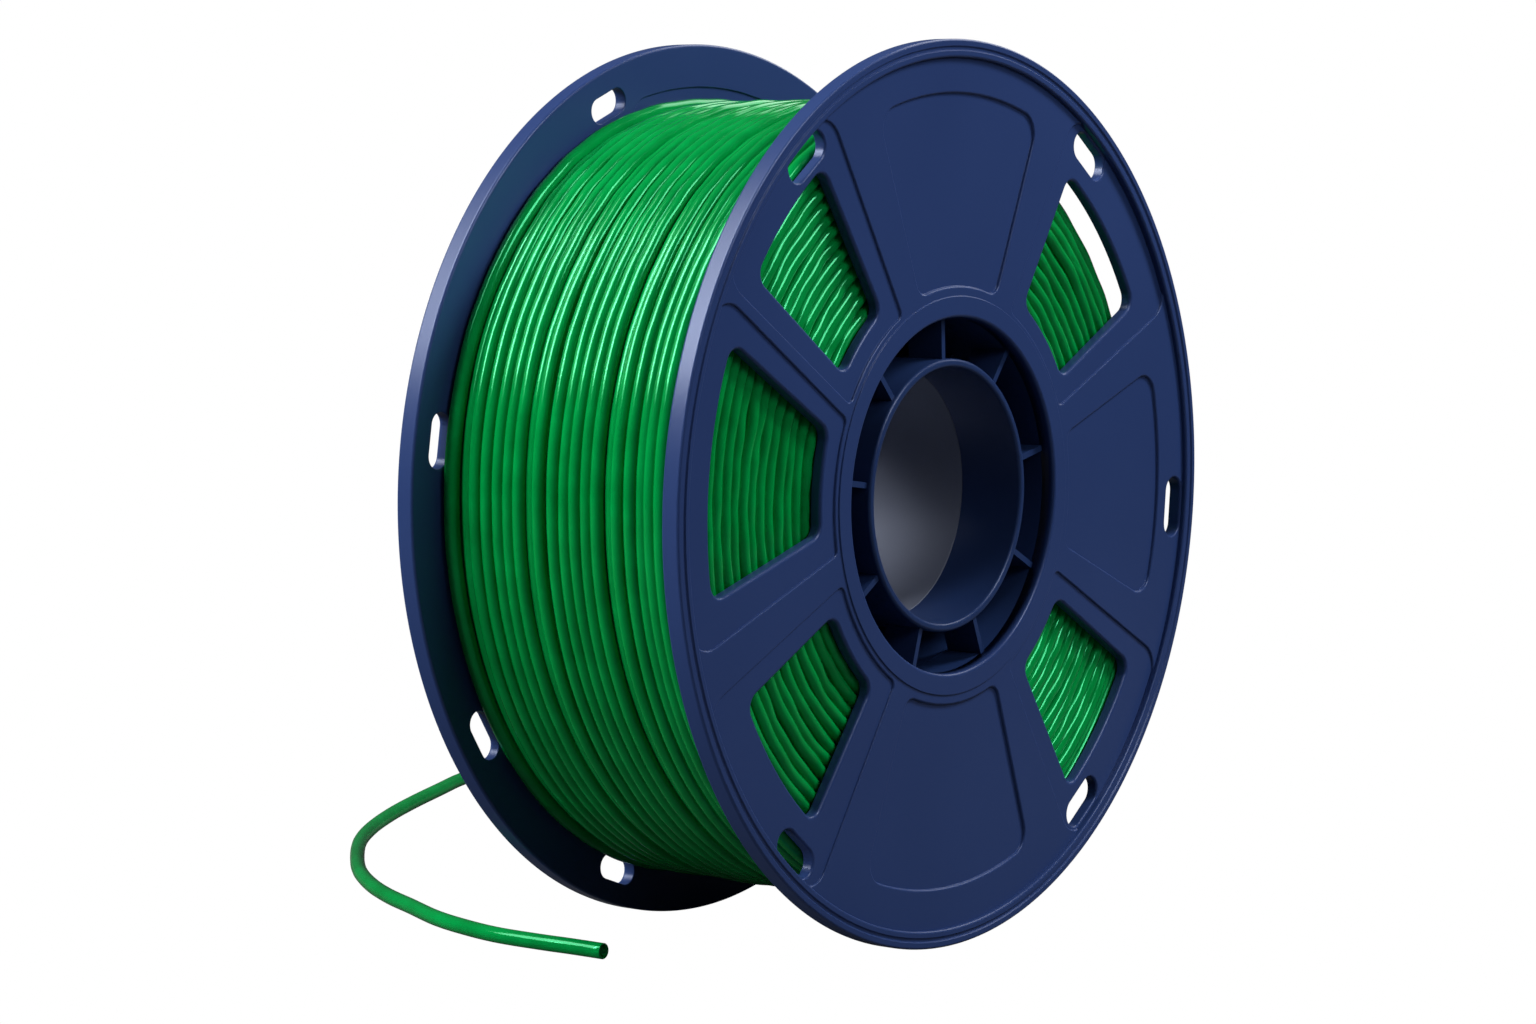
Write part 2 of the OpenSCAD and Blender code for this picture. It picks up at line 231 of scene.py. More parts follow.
def make_strand_green():
    """Glossy green covering over a slightly cloudy colour."""
    material, tree, shader = new_material("strand_green")
    vary_colour(tree, shader, add_noise(tree, scale=110, detail=3), [
        (0.3, (0.0, 0.216, 0.038)),
        (0.55, (0.0, 0.258, 0.047)),
        (0.75, (0.0, 0.3, 0.057)),
    ])
    vary_roughness(tree, shader, add_noise(tree, scale=240, detail=3), low=0.1, high=0.17)
    add_bump(tree, shader, add_noise(tree, scale=170, detail=2), strength=0.03, distance=0.1 * MM)
    set_inputs(shader, {
        "Specular IOR Level": 0.8,
        "Specular Tint": (0.08, 1.0, 0.45, 1),
        "Coat Weight": 0.06,
        "Coat Roughness": 0.1,
    })
    return material


NAVY = make_plastic("navy_plastic", dark=(0.019, 0.04, 0.136), light=(0.023, 0.047, 0.155),
                    rough_low=0.28, rough_high=0.34, grain=0.35)
# A darker copy of the navy plastic for the hub deep inside the flange: painted shade, standing in for the
# shade of the hub's recess
HUB_SHADED_NAVY = make_plastic("hub_navy_painted_shade", dark=(0.013, 0.03, 0.1), light=(0.017, 0.037, 0.12),
                        rough_low=0.28, rough_high=0.34, grain=0.3)
# A pale grey copy of the plastic for the far bore tube: painted light, standing in for the light that comes
# in through its open far end
FAR_BORE_PAINTED_LIGHT = make_plastic("far_bore_painted_light_grey", dark=(0.13, 0.145, 0.2), light=(0.19, 0.21, 0.28),
                         rough_low=0.4, rough_high=0.58, grain=1.0)
GREEN = make_strand_green()

# ---- Making pieces ----


def add_piece(name, mesh, material, replaced):
    """Shows a mesh as a piece of the one body, in place of the named CAD node."""
    piece = bpy.data.objects.new(name, mesh)
    bpy.context.scene.collection.objects.link(piece)
    mesh.materials.append(material)
    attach(piece, "root")
    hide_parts(replaced)
    return piece


def near_place(points):
    """From a flange's own axes, outside at +z, to the near flange's place, in millimetres."""
    p = np.asarray(points, float)
    return np.stack([p[:, 0], NEAR_INNER_Y - p[:, 2], AXIS_Z + p[:, 1]], axis=1)


def far_place(points):
    """The same for the far flange, which is turned half round and a little about the axis."""
    p = np.asarray(points, float)
    turn = math.radians(FAR_TURN)
    x = p[:, 0] * math.cos(turn) - p[:, 1] * math.sin(turn)
    y = p[:, 0] * math.sin(turn) + p[:, 1] * math.cos(turn)
    return np.stack([-x, FAR_INNER_Y + p[:, 2], AXIS_Z + y], axis=1)


def hub_place(points):
    """From (x, y, place along the axis) to the frame, in millimetres."""
    p = np.asarray(points, float)
    return np.stack([p[:, 0], p[:, 2], AXIS_Z + p[:, 1]], axis=1)


def vertex_normals(bm):
    """A direction for each vertex, set by its largest faces. A face that is marked smooth is a flat one,
    which sets the direction alone, so that it looks flat up to its edges."""
    areas = {face: face.calc_area() for face in bm.faces}
    normals = []
    for vertex in bm.verts:
        flat = [face for face in vertex.link_faces if face.smooth]
        if flat:
            normals.append(flat[0].normal.copy())
        else:
            normals.append(sum((f.normal * areas[f]**2 for f in vertex.link_faces), Vector()).normalized())
    return normals


def mesh_from_bmesh(name, bm, place, smooth=True):
    """Finishes a bmesh as a mesh in the frame, once place has moved its points there."""
    placed = place([v.co for v in bm.verts]) * MM
    for vertex, point in zip(bm.verts, placed):
        vertex.co = point
    bmesh.ops.recalc_face_normals(bm, faces=bm.faces)
    normals = vertex_normals(bm) if smooth else None
    mesh = bpy.data.meshes.new(name)
    bm.to_mesh(mesh)
    bm.free()
    mesh.polygons.foreach_set("use_smooth", [smooth] * len(mesh.polygons))
    if smooth:
        mesh.normals_split_custom_set_from_vertices(normals)
    return mesh


def smooth_mesh(name, points, faces):
    mesh = bpy.data.meshes.new(name)
    mesh.from_pydata(points, [], faces)
    mesh.polygons.foreach_set("use_smooth", [True] * len(mesh.polygons))
    return mesh


def join_rings(bm, rings):
    """Faces from each closed ring of vertices to the next, and from the last to the first."""
    count = len(rings[0])
    for ring, after in zip(rings, rings[1:] + rings[:1]):
        for j in range(count):
            k = (j + 1) % count
            bm.faces.new((ring[j], after[j], after[k], ring[k]))


# ---- Outlines on a flange's face ----

CORNER_STEPS = 9
CIRCLE_STEPS = 360


def arc(centre, r, start, end, steps, ends=True):
    """Points along an arc, in degrees, with or without its two ends."""
    inner = range(steps + 1) if ends else range(1, steps)
    angles = [math.radians(start + (end - start) * i / steps) for i in inner]
    return [(centre[0] + r * math.cos(a), centre[1] + r * math.sin(a)) for a in angles]


def turned(points, degrees):
    a = math.radians(degrees)
    c, s = math.cos(a), math.sin(a)
    return [(x * c - y * s, x * s + y * c) for x, y in points]


def corner_centre(ring_r, side, corner, half_angle):
    """Centre of a corner that is tangent to a ring's edge and to a sector's side."""
    a = math.radians(half_angle)
    offset = side + corner
    along = math.sqrt(ring_r**2 - offset**2)
    return (along * math.cos(a) + offset * math.sin(a), along * math.sin(a) - offset * math.cos(a))


def sector_loop(kind, sector, inset, reach=0):
    """A round-cornered sector, drawn in by inset and reaching further at the rim by reach."""
    half_angle, side = sector.half_angle, sector.side + inset
    r_in, r_out = kind.r_in + inset, kind.r_out - sector.short + reach - inset
    corner_in, corner_out = kind.corner_in - inset, kind.corner_out - inset
    out = corner_centre(r_out - corner_out, side, corner_out, half_angle)
    low = corner_centre(r_in + corner_in, side, corner_in, half_angle)
    out_angle = math.degrees(math.atan2(out[1], out[0]))
    low_angle = math.degrees(math.atan2(low[1], low[0]))
    points = arc((0, 0), r_out, -out_angle, out_angle, kind.steps_out, ends=False)
    points += arc(out, corner_out, out_angle, half_angle + 90, CORNER_STEPS)
    points += arc(low, corner_in, half_angle + 90, low_angle + 180, CORNER_STEPS)
    points += arc((0, 0), r_in, low_angle, -low_angle, kind.steps_in, ends=False)
    points += arc((low[0], -low[1]), corner_in, 180 - low_angle, 270 - half_angle, CORNER_STEPS)
    points += arc((out[0], -out[1]), corner_out, 270 - half_angle, 360 - out_angle, CORNER_STEPS)
    return turned(points, sector.centre)


def slot_loop(slot, inset):
    """A slot with round ends, lying across the radius."""
    half, r = (slot.length - slot.width) / 2, slot.width / 2 - inset
    points = arc((SLOT_MIDDLE_R, half), r, 0, 180, 2 * CORNER_STEPS)
    points += arc((SLOT_MIDDLE_R, -half), r, 180, 360, 2 * CORNER_STEPS)
    return turned(points, slot.angle)


def circle_loop(r):
    step = 360 / CIRCLE_STEPS
    return arc((0, 0), r, 0, 360 - step, CIRCLE_STEPS - 1)


# ---- A flange: one closed shell with rolled edges ----

EDGE_STEPS = 4
PROFILE_STEPS = 5
# Rows less than this apart are one row
TOUCH = 1e-6


def edge_rows(top, bottom, rounds, through=False):
    """Insets and heights down an opening's wall, from its rolled top edge to its floor or, when it goes
    through, to its other rolled edge. An inset below zero lies outside the outline."""
    top_round, bottom_round = rounds
    way = -1 if through else 1
    turns = [math.pi / 2 * i / EDGE_STEPS for i in range(EDGE_STEPS + 1)]
    upper = [(-top_round * (1 - math.sin(a)), top - top_round * (1 - math.cos(a))) for a in turns]
    lower = [(way * bottom_round * (1 - math.cos(a)), bottom + bottom_round * (1 - math.sin(a)))
             for a in turns]
    they_meet = upper[-1][1] < lower[0][1] + TOUCH
    return upper + (lower[1:] if they_meet else lower)


def add_wall(bm, loop_at, rows):
    """A wall through loops, whose outlines loop_at gives. Each row is (inset or radius, height). Gives back
    the first and the last loop."""
    loops = [[bm.verts.new((x, y, z)) for x, y in loop_at(inset)] for inset, z in rows]
    for upper, lower in zip(loops, loops[1:]):
        count = len(upper)
        for i in range(count):
            j = (i + 1) % count
            bm.faces.new((upper[i], upper[j], lower[j], lower[i]))
    return loops[0], loops[-1]


def fill_between(bm, loops):
    """A flat face that the first loop bounds and the others pierce. Its parts are marked smooth."""
    edges = []
    for loop in loops:
        for i, vertex in enumerate(loop):
            after = loop[(i + 1) % len(loop)]
            edges.append(bm.edges.get((vertex, after)) or bm.edges.new((vertex, after)))
    made = bmesh.ops.triangle_fill(bm, use_beauty=True, use_dissolve=False, edges=edges)
    for face in made["geom"]:
        if isinstance(face, bmesh.types.BMFace):
            face.smooth = True


def pad_at(pads, angle):
    """The index of the pad that covers an angle, or None."""
    for i, pad in enumerate(pads):
        if abs((angle - pad.centre + 180) % 360 - 180) < pad.half_angle:
            return i
    return None


def rounded(corners):
    """A profile with each (r, z, rounding) corner rolled by its own radius."""
    points = []
    count = len(corners)
    for i, (r, z, rounding) in enumerate(corners):
        here = np.array((r, z), float)
        if rounding == 0:
            points.append(tuple(here))
            continue
        before = np.array(corners[i - 1][:2], float) - here
        after = np.array(corners[(i + 1) % count][:2], float) - here
        before, after = before / np.linalg.norm(before), after / np.linalg.norm(after)
        half = math.acos(max(-1, min(1, float(before @ after)))) / 2
        setback = rounding / math.tan(half)
        middle = here + (before + after) / np.linalg.norm(before + after) * rounding / math.sin(half)
        first, last = here + before * setback - middle, here + after * setback - middle
        turn = math.atan2(first[0] * last[1] - first[1] * last[0], float(first @ last))
        for k in range(PROFILE_STEPS + 1):
            a = turn * k / PROFILE_STEPS
            c, s = math.cos(a), math.sin(a)
            points.append(tuple(middle + (first[0] * c - first[1] * s, first[0] * s + first[1] * c)))
    return points


def rim_rows():
    """The raised rim: an inner step, a fine groove and rolled outer edges. It starts and ends on the plate,
    and its first rows lie inside the plate, so that the pads can run out under the rim."""
    covered, under = RIM_R + 1.1, 1.5
    groove_out, groove_in = FLANGE_R - 1.5, FLANGE_R - 2.6
    groove_floor, groove_slope = RIM_T - 0.35, 0.25
    return rounded([
        (covered, FACE_Z, 0),
        (covered, under, 0),
        (RIM_R, under, 0),
        (RIM_R, RIM_T, 0.6),
        (groove_in, RIM_T, 0.15),
        (groove_in + groove_slope, groove_floor, 0.12),
        (groove_out - groove_slope, groove_floor, 0.12),
        (groove_out, RIM_T, 0.15),
        (FLANGE_R, RIM_T, 0.6),
        (FLANGE_R, 0, 0.7),
        (FLANGE_R - 1, 0, 0),
    ])


def collar_rows():
    """The collar round the open end of the hub."""
    return rounded([
        (COLLAR_R + 0.5, FACE_Z, 0),
        (COLLAR_R, FACE_Z, 0.12),
        (COLLAR_R, COLLAR_Z, 0.17),
        (BARREL_BORE_R, COLLAR_Z, 0.8),
        (BARREL_BORE_R, 0, 0),
    ])


def make_flange(name, node, pads, slots, place):
    """A flange's plate, with the rim and the collar turned on at its two edges, and every opening cut in."""
    bm = bmesh.new()
    rim_top, rim_bottom = add_wall(bm, circle_loop, rim_rows())
    collar_top, collar_bottom = add_wall(bm, circle_loop, collar_rows())
    face, inner, floors = [rim_top, collar_top], [rim_bottom, collar_bottom], []
    for pad, window in zip(pads, WINDOWS):
        top, floor = add_wall(bm, partial(sector_loop, PAD, pad), edge_rows(FACE_Z, PAD_Z, PAD_ROUNDS))
        face.append(top)
        top, bottom = add_wall(bm, partial(sector_loop, WINDOW, window),
                               edge_rows(PAD_Z, 0, WINDOW_ROUNDS, through=True))
        floors.append([floor, top])
        inner.append(bottom)
    for slot in slots:
        home = pad_at(pads, slot.angle)
        level, around = (FACE_Z, face) if home is None else (PAD_Z, floors[home])
        top, bottom = add_wall(bm, partial(slot_loop, slot), edge_rows(level, 0, SLOT_ROUNDS, through=True))
        around.append(top)
        inner.append(bottom)
    for panel, reach in zip(PANELS, INNER_PANEL_REACHES):
        top, floor = add_wall(bm, partial(sector_loop, PANEL, panel),
                              edge_rows(FACE_Z, PANEL_Z, PANEL_ROUNDS))
        face.append(top)
        floors.append([floor])
        rows = [(inset, -z) for inset, z in edge_rows(0, -INNER_PANEL_DEPTH, INNER_PANEL_ROUNDS)]
        top, floor = add_wall(bm, partial(sector_loop, PANEL, panel, reach=reach), rows)
        inner.append(top)
        floors.append([floor])
    for loops in floors + [face, inner]:
        fill_between(bm, loops)
    add_piece(name, mesh_from_bmesh(name, bm, place), NAVY, node)


# ---- Hub ----

LATHE_STEPS = 180


def make_tube(name, node, material, open_end, joint_end):
    """A bore tube: its open end is well rolled, and its end at the joint only a little."""
    bm = bmesh.new()
    profile = rounded([
        (BORE_R, joint_end, 0.22),
        (TUBE_R, joint_end, 0.1),
        (TUBE_R, open_end, 0.75),
        (BORE_R, open_end, 0.75),
    ])
    angles = [FULL * i / LATHE_STEPS for i in range(LATHE_STEPS)]
    rings = [[bm.verts.new((r * math.cos(a), r * math.sin(a), z)) for r, z in profile] for a in angles]
    join_rings(bm, rings)
    add_piece(name, mesh_from_bmesh(name, bm, hub_place), material, node)


def make_ribs(name, node, ends, start):
    """Thin ribs from the bore tube to the barrel, sunk a little into both."""
    bm = bmesh.new()
    for i in range(RIB_COUNT):
        rib = bmesh.ops.create_cube(bm, size=1)["verts"]
        for vertex in rib:
            vertex.co.x = (TUBE_R - RIB_SINK) if vertex.co.x < 0 else (BARREL_BORE_R + RIB_SINK)
            vertex.co.y *= RIB_T
            vertex.co.z = ends[0] if vertex.co.z < 0 else ends[1]
        turn = Matrix.Rotation(math.radians(start + i * 360 / RIB_COUNT), 4, "Z")
        bmesh.ops.transform(bm, matrix=turn, verts=rib)
    mesh = mesh_from_bmesh(name, bm, hub_place, smooth=False)
    add_piece(name, mesh, HUB_SHADED_NAVY, node)


# ---- Strand ----

rng = np.random.default_rng(11)


def wander(angles, size, cycles, count=5):
    """A slow wobble round the axis, about as large as size: a few sine waves with their own phases."""
    total = np.zeros_like(angles)
    for _ in range(count):
        n = rng.integers(cycles[0], cycles[1] + 1)
        total += np.sin(n * angles + rng.uniform(0, FULL)) / count
    # The waves partly cancel out, which 1.6 makes up for
    return size * 1.6 * total


def ease(share):
    """A share held between 0 and 1 that starts and ends softly."""
    share = np.clip(share, 0, 1)
    return share * share * (3 - 2 * share)


def quads(first, second, sides):
    """Faces between two rings of points, given the number of each ring's first point."""
    return [(first + j, first + (j + 1) % sides, second + (j + 1) % sides, second + j) for j in range(sides)]


# A tube about the spool's axis: its angles, how far out and where along the axis it lies at each, its own
# radius, and whether its end joins its start
Run = namedtuple("Run", "angles radii places tube_r closed")


def strand_mesh(runs, sides):
    """One mesh of all the runs."""
    points, faces = [], []
    spin = np.arange(sides) * FULL / sides
    base = 0
    for run in runs:
        tube_r = np.broadcast_to(run.tube_r, run.angles.shape)[:, None]
        across = run.radii[:, None] + tube_r * np.cos(spin)[None, :]
        y = run.places[:, None] + tube_r * np.sin(spin)[None, :]
        x = across * np.cos(run.angles)[:, None]
        z = AXIS_Z + across * np.sin(run.angles)[:, None]
        points.append(np.stack([x, y, z], axis=2).reshape(-1, 3))
        count = len(run.angles)
        for i in range(count if run.closed else count - 1):
            faces += quads(base + i * sides, base + (i + 1) % count * sides, sides)
        if not run.closed:
            last = base + (count - 1) * sides
            faces.append(tuple(base + j for j in reversed(range(sides))))
            faces.append(tuple(last + j for j in range(sides)))
        base += count * sides
    return smooth_mesh("strand", (np.concatenate(points) * MM).tolist(), faces)


# The middle of the strand in the outer layer: its mean radius, its place along the axis where the free end
# leaves it, and the furthest place that it reaches
LAYER_R = span("outer_turns", X)[1] - STRAND_R
LAYER_END_Y = 31.6
WOUND_END_Y = 31.8
# How far below the axis the free end takes over
STRAND_DROP = 3.6
# The outer layer falls away at the near flange, on the upper right alone: how deep, over how wide a band,
# where it is deepest, and the cosine of how far round it goes from there
EDGE_DROP, EDGE_W, EDGE_ANGLE, EDGE_REACH = 8.3, 11.6, math.radians(43), 0.3
# The winding isn't quite round: at each angle, in degrees, how far it stands out from its mean radius
OUT_OF_ROUND = (
    (0, -0.4), (60, -1.2), (95, -1.3), (107, -0.4), (119, 0.9), (131, 1.8), (155, 2.7), (167, 2.5),
    (180, 2.1), (205, 2.3), (227, 2.3), (250, 2.1), (270, 1.8), (330, 0.4), (360, -0.4),
)
# Where each turn of the outer layer lies along the axis on the left-hand side, and how high it rides
TURNS = (
    (31.8, 0.7), (28.5, -1.4), (25.75, 0.0), (22.2, 0.2), (19.1, -0.15), (16.3, -0.2), (13.1, 0.3),
    (10.6, -1.3), (8.0, 0.0), (3.8, 0.3), (0.8, 0.0), (-2.2, 0.15), (-5.0, -0.1), (-8.1, 0.3),
    (-11.0, -1.3), (-13.4, 0.15), (-16.8, 0.2), (-19.6, -0.4), (-21.9, -0.2), (-24.8, 0.3),
    (-28.1, 0.0), (-31.7, 0.0),
)


def edge_share(angle):
    """How far the outer layer falls away at an angle, from 0 to 1."""
    return np.clip((np.cos(angle - EDGE_ANGLE) - EDGE_REACH) / (1 - EDGE_REACH), 0, 1)


def outer_radius(y, angle):
    """Radius over the outer layer."""
    out = np.interp(np.degrees(angle) % 360, [a for a, _ in OUT_OF_ROUND], [r for _, r in OUT_OF_ROUND])
    into_band = np.maximum(0, (EDGE_W - WOUND_END_Y - y) / EDGE_W)
    return LAYER_R + STRAND_R + out - EDGE_DROP * edge_share(angle) * into_band**2


def make_outer_turns():
    """The outer layer as one strand, from the near flange to where the free end leaves it."""
    steps, sides = 300, 14
    slow, fine = (5, 60), (210, 380)
    # Turns are counted from where the free end leaves, and each passes the left-hand side half way round
    left = np.arange(len(TURNS)) + 0.5
    turns = np.arange(len(TURNS) * steps, -1, -1) / steps
    angles = turns * FULL
    places = np.interp(turns, left, [place for place, _ in TURNS])
    lifts = np.interp(turns, left, [lift for _, lift in TURNS])
    # Finer kinks show where the strand crosses the top
    kinks = np.clip(np.cos(angles - math.radians(75)) * 1.4, 0, 1)
    # The waves repeat only after seven or five turns, so that neighbouring turns differ
    shift = (wander(angles / 7, size=0.2, cycles=slow, count=9)
             + kinks * wander(angles / 7, size=0.14, cycles=fine, count=9))
    rise = (wander(angles / 5, size=0.1, cycles=slow, count=9)
            + (0.2 + 0.4 * kinks) * wander(angles / 7, size=0.2, cycles=fine, count=9))
    # The strand leaves the free end's line over 0.3 turn, and is pressed thinner from 0.7 turn to 1.2
    settled = ease(turns / 0.3)
    tube_r = STRAND_R + (WOUND_R - STRAND_R) * ease((turns - 0.7) / 0.5)
    places = places + settled * shift
    radii = outer_radius(places, angles) - tube_r + lifts + rise
    radii = LAYER_R + (radii - LAYER_R) * settled
    places = LAYER_END_Y + (places - LAYER_END_Y) * settled
    places = np.clip(places, -WOUND_END_Y, WOUND_END_Y)
    # The last stretch runs straight down to where the free end takes over
    run = Run(
        angles=np.append(angles, -math.atan2(STRAND_DROP, LAYER_R)),
        radii=np.append(radii, math.hypot(LAYER_R, STRAND_DROP)),
        places=np.append(places, LAYER_END_Y),
        tube_r=np.append(tube_r, STRAND_R),
        closed=False,
    )
    add_piece("outer_turns_wound", strand_mesh([run], sides), GREEN, "outer_turns")


LOOP_STEPS = 420
LOOP_ANGLES = np.arange(LOOP_STEPS) * FULL / LOOP_STEPS


def clear_of_edge(radii, places):
    """Moves a turn away from the near flange where it would stick out of the falling edge."""
    tries, step = 12, 1.0
    under_surface = 0.9 * WOUND_R
    for _ in range(tries):
        over = radii + WOUND_R > outer_radius(places, LOOP_ANGLES) - under_surface
        places = places + np.where(over & (places < EDGE_W - WOUND_END_Y), step, 0.0)
    # Each place becomes the mean of those round it, which takes the steps out
    reach = 4
    count = 2 * reach + 1
    padded = np.concatenate([places[-reach:], places, places[:reach]])
    return np.convolve(padded, np.ones(count) / count, "valid")


def layer_run(radius, place, shift):
    """One turn of an inner layer at a flange, which wobbles along the axis by about shift."""
    rise, cycles = 0.28, (4, 19)
    radii = radius + wander(LOOP_ANGLES, rise, cycles)
    places = place + wander(LOOP_ANGLES, shift, cycles)
    if place < 0:
        places = clear_of_edge(radii, places)
    return Run(LOOP_ANGLES, radii, places, WOUND_R, closed=True)


def layer_under_outer():
    """The whole layer under the outer one. It shows between the outer turns, and falls away a little before
    they do."""
    count, pitch, first = 21, 3.15, -WOUND_END_Y + 0.2
    under, before = 2.7, 1.0
    shift, rise, cycles = 0.2, 0.12, (3, 17)
    runs = []
    for i in range(count):
        places = first + i * pitch + wander(LOOP_ANGLES, shift, cycles)
        radii = outer_radius(places - before, LOOP_ANGLES) - WOUND_R - under
        radii = radii + wander(LOOP_ANGLES, rise, cycles)
        runs.append(Run(LOOP_ANGLES, radii, places, WOUND_R, closed=True))
    return runs


def layers_at_flanges():
    """The end turns of the layers at both flanges: one against the flange, and one half a pitch further out
    and a little further in along the axis."""
    pitch, first, last = 3.03, BARREL_R + 1.9, LAYER_R - 1.2
    further_in, unevenness = 2.6, 0.3
    runs = []
    for side in (-1, 1):
        for i in range(int((last - first) / pitch) + 1):
            radius = first + i * pitch
            edge = side * (WOUND_END_Y - abs(rng.normal(0, unevenness)))
            runs.append(layer_run(radius, edge, shift=0.16))
            runs.append(layer_run(radius + pitch / 2, edge - side * further_in, shift=0.2))
    return runs


def add_core(bm):
    """The body of the winding under the strands that show."""
    barrel, end, rows = BARREL_R + 0.05, WOUND_END_Y - 1.6, 13
    rings = []
    for i in range(LATHE_STEPS):
        angle = FULL * i / LATHE_STEPS
        # 3.6 mm under the outer layer's surface, and 1.6 mm where that falls away
        under = 3.6 - 2.0 * min(1, 3 * float(edge_share(angle)))
        profile = [(barrel, end), (barrel, -end)]
        profile += [(float(outer_radius(y, angle)) - under, y) for y in np.linspace(-end, end, rows)]
        rings.append([bm.verts.new((r * MM * math.cos(angle), y * MM, (AXIS_Z + r * math.sin(angle)) * MM))
                      for r, y in profile])
    join_rings(bm, rings)


def make_inner_layers():
    """What shows of the inner layers, on the core."""
    sides = 12
    runs = layer_under_outer() + layers_at_flanges()
    for run in runs:
        # Small kinks along every turn
        run.radii[:] += wander(run.angles, size=0.13, cycles=(16, 50), count=9)
        run.places[:] += wander(run.angles, size=0.22, cycles=(16, 50), count=9)
    mesh = strand_mesh(runs, sides)
    whole = bmesh.new()
    whole.from_mesh(mesh)
    add_core(whole)
    for face in whole.faces:
        face.smooth = True
    whole.to_mesh(mesh)
    whole.free()
    add_piece("inner_layers", mesh, GREEN, "winding_core")


# ---- Free end ----

# The route over the floor, in metres, from the winding to the cut end
FREE_END_ROUTE = [
    (0.0875, 0.0316, 0.06), (0.089, 0.033, 0.04), (0.0915, 0.036, 0.022), (0.095, 0.043, 0.009),
    (0.099, 0.054, 0.0036), (0.1045, 0.07, 0.0018), (0.112, 0.09, 0.0018), (0.121, 0.112, 0.0018),
    (0.129, 0.134, 0.0018), (0.134, 0.155, 0.0018), (0.134, 0.175, 0.0018), (0.127, 0.191, 0.0018),
    (0.113, 0.199, 0.0018), (0.096, 0.195, 0.0018), (0.079, 0.188, 0.0018), (0.059, 0.1795, 0.0018),
    (0.041, 0.171, 0.0018), (0.023, 0.161, 0.0018), (0.007, 0.15, 0.0018), (-0.009, 0.136, 0.0018),
    (-0.023, 0.122, 0.0018), (-0.034, 0.108, 0.0018), (-0.042, 0.095, 0.0018), (-0.048, 0.0825, 0.0018),
    (-0.055, 0.068, 0.0018), (-0.059, 0.055, 0.0018), (-0.061, 0.044, 0.0018), (-0.061, 0.032, 0.0018),
    (-0.0605, 0.0235, 0.0018), (-0.0603, 0.0145, 0.0018),
]
# The cut end, a thin wall round a cupped middle: radius and depth of each ring, in millimetres
CUT_END = [(1.8, 0.12), (1.72, 0.0), (1.5, 0.0), (1.38, 0.1), (1.25, 0.7), (0.9, 1.1), (0.35, 1.25)]


def smooth_route(points, steps):
    """A Catmull-Rom curve through the points, which starts along its first stretch."""
    p = [np.array(q, float) for q in points]
    p = [2 * p[0] - p[1]] + p + [2 * p[-1] - p[-2]]
    made = []
    for i in range(1, len(p) - 2):
        a, b, c, d = p[i - 1:i + 3]
        for k in range(steps):
            t = k / steps
            made.append(0.5 * (2 * b + (c - a) * t + (2 * a - 5 * b + 4 * c - d) * t**2
                               + (3 * b - a - 3 * c + d) * t**3))
    made.append(p[-2])
    return np.array(made)


def tube_about(path, sides, far_end):
    """Points and faces of a closed tube along a path in metres. The rings of far_end take the place of its
    last ring, each a radius and a depth from the path's end, in millimetres."""
    along = np.gradient(path, axis=0)
    along /= np.linalg.norm(along, axis=1)[:, None]
    side = np.array((1.0, 0, 0))
    rings = []
    for i, (middle, direction) in enumerate(zip(path, along)):
        side = side - (side @ direction) * direction
        side /= np.linalg.norm(side)
        other = np.cross(direction, side)
        shapes = far_end if i == len(path) - 1 else [(STRAND_R, 0)]
        rings += [(middle - direction * (depth * MM), side, other, r * MM) for r, depth in shapes]
    spin = [FULL * j / sides for j in range(sides)]
    points = [tuple(middle + r * (math.cos(a) * side + math.sin(a) * other))
              for middle, side, other, r in rings for a in spin]
    last = (len(rings) - 1) * sides
    faces = [face for start in range(0, last, sides) for face in quads(start, start + sides, sides)]
    faces.append(tuple(reversed(range(sides))))
    faces.append(tuple(last + j for j in range(sides)))
    return points, faces


def make_free_end():
    exit_point = (LAYER_R * MM, LAYER_END_Y * MM, (AXIS_Z - STRAND_DROP) * MM)
    second = (exit_point[0], exit_point[1], exit_point[2] - STRAND_DROP * MM)
    path = smooth_route([exit_point, second] + FREE_END_ROUTE, steps=5)
    points, faces = tube_about(path, sides=20, far_end=CUT_END)
    mesh = smooth_mesh("free_end_lying", points, faces)
    piece = add_piece("free_end_lying", mesh, GREEN, "free_end")


# ---- All the pieces ----

make_free_end()
make_flange("near_flange_moulding", "near_flange", PADS, NEAR_SLOTS, near_place)
make_flange("far_flange_moulding", "far_flange", FAR_PADS, FAR_SLOTS, far_place)
make_tube("near_bore_moulding", "near_bore_tube", HUB_SHADED_NAVY, NEAR_TUBE_Y[0], NEAR_TUBE_Y[1])
# The far bore tube is drawn pale grey, which is painted light
make_tube("far_bore_moulding", "far_bore_tube", FAR_BORE_PAINTED_LIGHT, FAR_TUBE_Y[1], FAR_TUBE_Y[0])
make_ribs("near_rib_moulding", "near_ribs", NEAR_RIB_Y, RIB_START)
make_ribs("far_rib_moulding", "far_ribs", FAR_RIB_Y, 180 - RIB_START)
# The barrels take the darker hub navy too, which is painted shade
for barrel in ("near_barrel", "far_barrel"):
    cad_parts[barrel].data.materials.clear()
    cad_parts[barrel].data.materials.append(HUB_SHADED_NAVY)
make_outer_turns()
make_inner_layers()

# ---- Floor, background and light ----


def white_for_the_camera(tree, shaded, output):
    """Shows plain white to the camera, and the shaded surface to everything else."""
    white = tree.nodes.new("ShaderNodeEmission")
    set_inputs(white, {"Color": (1, 1, 1, 1)})
    rays = tree.nodes.new("ShaderNodeLightPath")
    mix = tree.nodes.new("ShaderNodeMixShader")
    tree.links.new(rays.outputs["Is Camera Ray"], mix.inputs["Fac"])
    tree.links.new(shaded, mix.inputs[1])
    tree.links.new(white.outputs["Emission"], mix.inputs[2])
    tree.links.new(mix.outputs["Shader"], output)


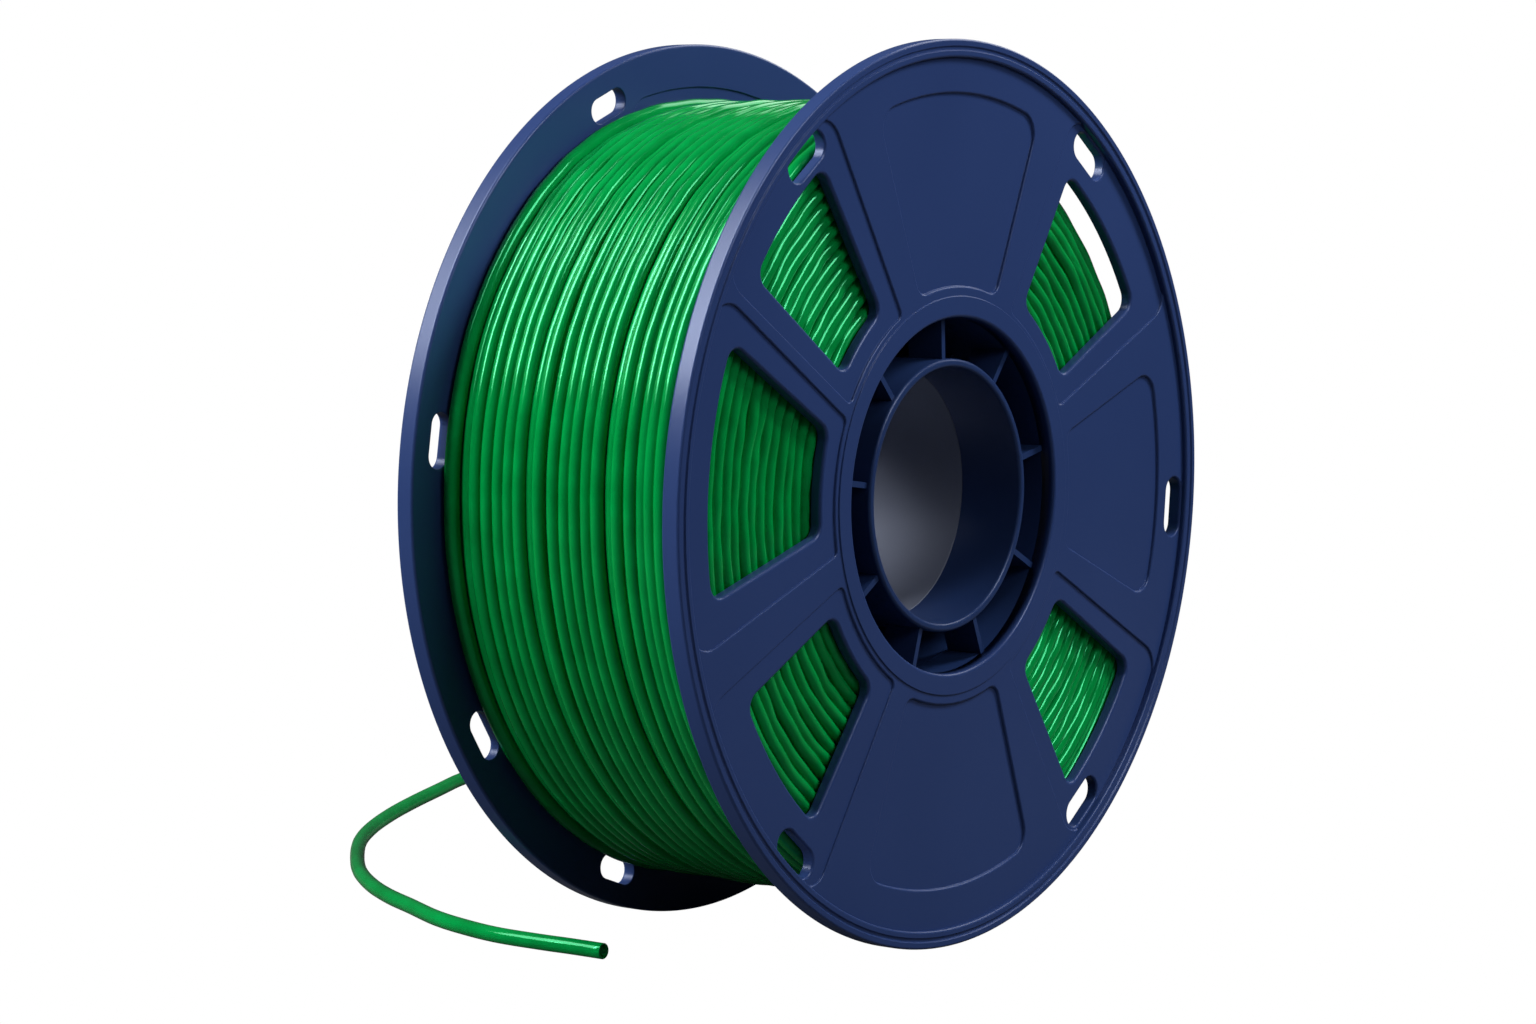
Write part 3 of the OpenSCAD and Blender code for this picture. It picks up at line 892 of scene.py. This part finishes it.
def make_floor():
    half = 6.0
    corners = [(-half, -half, 0), (half, -half, 0), (half, half, 0), (-half, half, 0)]
    mesh = bpy.data.meshes.new("floor")
    mesh.from_pydata(corners, [], [(0, 1, 2, 3)])
    floor = bpy.data.objects.new("floor", mesh)
    bpy.context.scene.collection.objects.link(floor)
    material, tree, shader = new_material("studio_floor")
    set_inputs(shader, {"Base Color": (0.08, 0.08, 0.08, 1), "Roughness": 0.9, "Specular IOR Level": 0.0})
    white_for_the_camera(tree, shader.outputs["BSDF"], tree.nodes["Material Output"].inputs["Surface"])
    mesh.materials.append(material)


def make_world():
    world = bpy.data.worlds.new("studio")
    bpy.context.scene.world = world
    world.use_nodes = True
    tree = world.node_tree
    light = tree.nodes["Background"]
    set_inputs(light, {"Color": (0.86, 0.93, 1.0, 1), "Strength": 0.06})
    white_for_the_camera(tree, light.outputs["Background"], tree.nodes["World Output"].inputs["Surface"])


def add_area_light(name, direction, distance, size, power, soft=True, glint=False):
    """A box that faces the spool from a direction, with its distance and its size across and up in metres
    and its power in watts. It lights surfaces softly, glints on them, or both."""
    data = bpy.data.lights.new(name, "AREA")
    data.shape = "RECTANGLE"
    data.size, data.size_y = size
    data.energy = power
    lamp = bpy.data.objects.new(name, data)
    toward = Vector(direction).normalized()
    lamp.location = Vector((0, 0, AXIS_Z * MM)) + toward * distance
    lamp.rotation_euler = toward.to_track_quat("Z", "Y").to_euler()
    lamp.visible_diffuse = soft
    lamp.visible_glossy = glint
    bpy.context.scene.collection.objects.link(lamp)


make_floor()
make_world()
add_area_light("key", (-0.54, 0.44, 0.7), 1.2, (0.75, 1.0), 17, glint=True)
add_area_light("front_top", (0.5, -0.5, 0.7), 0.9, (0.25, 0.25), 7.6)
add_area_light("front", (-0.1, -0.85, 0.5), 0.75, (0.25, 0.25), 1.4)
add_area_light("left", (-0.92, 0.3, 0.12), 1.5, (0.12, 0.55), 7)
add_area_light("back_left", (-0.62, 0.62, 0.48), 1.3, (0.2, 0.2), 3)
add_area_light("line_glint", (-0.58, 0.4, 0.7), 1.1, (0.1, 0.8), 8, soft=False, glint=True)
add_area_light("front_glint", (0.0, -0.67, 0.74), 1.0, (0.45, 0.3), 4.5, soft=False, glint=True)
add_area_light("back_top_glint", (0.8, -0.02, 0.6), 1.3, (0.9, 0.7), 6.5, soft=False, glint=True)

bpy.context.scene.view_settings.view_transform = "Standard"
